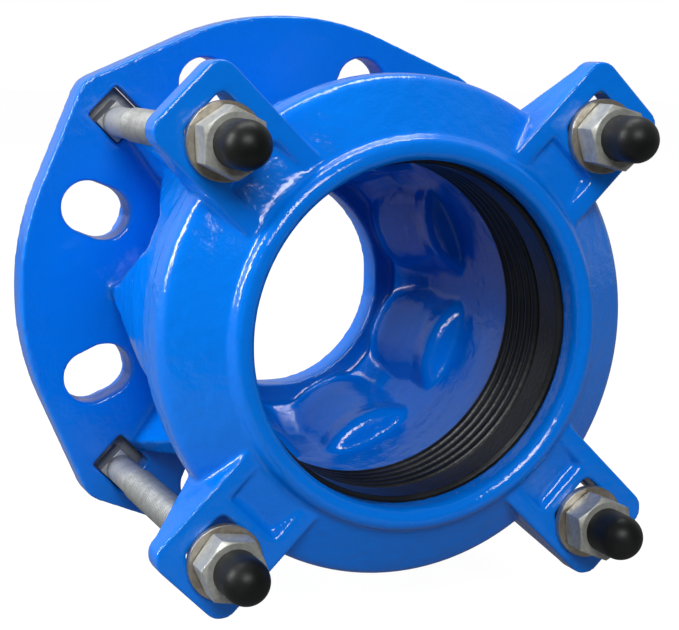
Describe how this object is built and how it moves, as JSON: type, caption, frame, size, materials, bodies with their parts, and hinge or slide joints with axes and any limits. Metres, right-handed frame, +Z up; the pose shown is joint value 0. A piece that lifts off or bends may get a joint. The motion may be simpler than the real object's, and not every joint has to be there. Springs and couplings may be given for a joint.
{
  "type": "flange adaptor",
  "caption": "Wide-range pipe flange adaptor: a slotted flange with a scalloped bell, a clamping end ring on tie bolts and a rubber wedge gasket.",
  "frame": {"origin": "centre of the waterway in the plane of the flange's sealing face", "axes": "+Y along the pipe axis, out of the sealing face; the socket opens toward -Y; +Z up with the tie bolts on the diagonals"},
  "size_m": [0.2, 0.1639, 0.2],
  "materials": {
    "blue_coating": "glossy blue epoxy coating on a ductile iron casting",
    "gasket_rubber": "matte black rubber",
    "plated_bolt": "bright zinc plating",
    "plated_washer": "bright zinc plating",
    "plated_nut": "bright zinc plating",
    "black_cap": "smooth black plastic"
  },
  "bodies": {
    "body": {"flange_body": "blue_coating", "gasket": "gasket_rubber", "tie_bolt_1": "plated_bolt", "tie_bolt_2": "plated_bolt", "tie_bolt_3": "plated_bolt", "tie_bolt_4": "plated_bolt"},
    "end_ring": {"end_ring": "blue_coating", "washer_1": "plated_washer", "washer_2": "plated_washer", "washer_3": "plated_washer", "washer_4": "plated_washer"},
    "nut_1": {"nut_1": "plated_nut"},
    "nut_2": {"nut_2": "plated_nut"},
    "nut_3": {"nut_3": "plated_nut"},
    "nut_4": {"nut_4": "plated_nut"},
    "cap_1": {"cap_1": "black_cap"},
    "cap_2": {"cap_2": "black_cap"},
    "cap_3": {"cap_3": "black_cap"},
    "cap_4": {"cap_4": "black_cap"}
  },
  "joints": [
    {"name": "ring_slide", "type": "slide", "parent": "body", "child": "end_ring", "axis": [0, 1, 0], "range_m": [0, 0.0025], "deforming": ["gasket"]},
    {"name": "nut_1_turn", "type": "hinge", "parent": "end_ring", "child": "nut_1", "pos_m": [0.06399, -0.143, 0.06151], "axis": [0, 1, 0], "range_deg": [0, 515]},
    {"name": "nut_2_turn", "type": "hinge", "parent": "end_ring", "child": "nut_2", "pos_m": [-0.06399, -0.143, 0.06151], "axis": [0, 1, 0], "range_deg": [0, 515]},
    {"name": "nut_3_turn", "type": "hinge", "parent": "end_ring", "child": "nut_3", "pos_m": [-0.06399, -0.143, -0.06647], "axis": [0, 1, 0], "range_deg": [0, 515]},
    {"name": "nut_4_turn", "type": "hinge", "parent": "end_ring", "child": "nut_4", "pos_m": [0.06399, -0.143, -0.06647], "axis": [0, 1, 0], "range_deg": [0, 515]},
    {"name": "cap_1_pull", "type": "slide", "parent": "body", "child": "cap_1", "axis": [0, -1, 0], "range_m": [0, 0.02]},
    {"name": "cap_2_pull", "type": "slide", "parent": "body", "child": "cap_2", "axis": [0, -1, 0], "range_m": [0, 0.02]},
    {"name": "cap_3_pull", "type": "slide", "parent": "body", "child": "cap_3", "axis": [0, -1, 0], "range_m": [0, 0.02]},
    {"name": "cap_4_pull", "type": "slide", "parent": "body", "child": "cap_4", "axis": [0, -1, 0], "range_m": [0, 0.02]}
  ],
  "couplings": [
    {"joint": "nut_1_turn", "follows": "ring_slide", "rad_per_m": 3590.4},
    {"joint": "nut_2_turn", "follows": "ring_slide", "rad_per_m": 3590.4},
    {"joint": "nut_3_turn", "follows": "ring_slide", "rad_per_m": 3590.4},
    {"joint": "nut_4_turn", "follows": "ring_slide", "rad_per_m": 3590.4}
  ]
}
